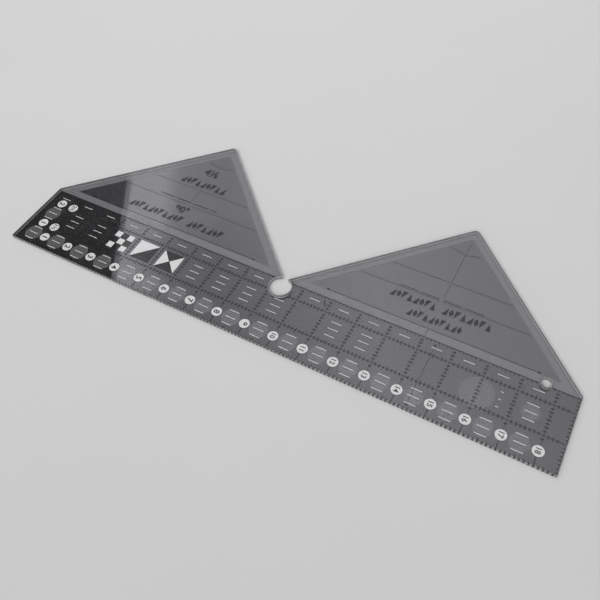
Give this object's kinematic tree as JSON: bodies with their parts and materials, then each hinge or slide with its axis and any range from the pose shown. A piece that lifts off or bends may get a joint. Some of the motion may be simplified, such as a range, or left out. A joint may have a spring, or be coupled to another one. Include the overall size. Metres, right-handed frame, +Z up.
{
  "type": "quilting ruler",
  "caption": "Clear acrylic ruler for cutting cloth: a straight strip carrying two right-angled triangles with a notch and relief hole between them, a hanging hole and an inlaid inch scale",
  "frame": {"origin": "Middle of the ruler's bounding box, on the plane of its underside", "axes": "+X along the long straight edge towards the end with the hanging hole, +Y from that edge towards the tips of the triangles, +Z up out of the plain top face"},
  "size_m": [0.473, 0.1796, 0.003],
  "materials": {
    "clear_acrylic": "clear smoky grey sheet, polished faces, laser-cut edges",
    "white_print": "opaque white ink",
    "black_print": "opaque black ink",
    "frosted_grip": "frosted clear grip",
    "frosted_print": "translucent frosted ink"
  },
  "bodies": {
    "root": {"acrylic_sheet": "clear_acrylic", "frosted_band_left_base": "frosted_print", "frosted_band_left_inner": "frosted_print", "frosted_band_left_outer": "frosted_print", "frosted_band_right_base": "frosted_print", "frosted_band_right_inner": "frosted_print", "frosted_band_right_outer": "frosted_print", "round_patch": "frosted_print", "grip_01": "frosted_grip", "grip_02": "frosted_grip", "grip_03": "frosted_grip", "grip_04": "frosted_grip", "grip_05": "frosted_grip", "grip_06": "frosted_grip", "grip_07": "frosted_grip", "grip_08": "frosted_grip", "grip_09": "frosted_grip", "grip_10": "frosted_grip", "grip_11": "frosted_grip", "grip_12": "frosted_grip", "grip_13": "frosted_grip", "grip_14": "frosted_grip", "grip_15": "frosted_grip", "grip_16": "frosted_grip", "grip_17": "frosted_grip", "grip_18": "frosted_grip", "grip_upper_left": "frosted_grip", "grip_upper_right": "frosted_grip", "number_disc_01": "white_print", "number_disc_02": "white_print", "number_disc_03": "white_print", "number_disc_04": "white_print", "number_disc_05": "white_print", "number_disc_06": "white_print", "number_disc_07": "white_print", "number_disc_08": "white_print", "number_disc_09": "white_print", "number_disc_10": "white_print", "number_disc_11": "white_print", "number_disc_12": "white_print", "number_disc_13": "white_print", "number_disc_14": "white_print", "number_disc_15": "white_print", "number_disc_16": "white_print", "number_disc_17": "white_print", "number_disc_18": "white_print", "number_disc_19": "white_print", "number_disc_20": "white_print", "number_disc_21": "white_print", "number_disc_22": "white_print", "quilt_block_1": "white_print", "quilt_block_2": "white_print", "quilt_block_3": "white_print"}
  },
  "joints": []
}
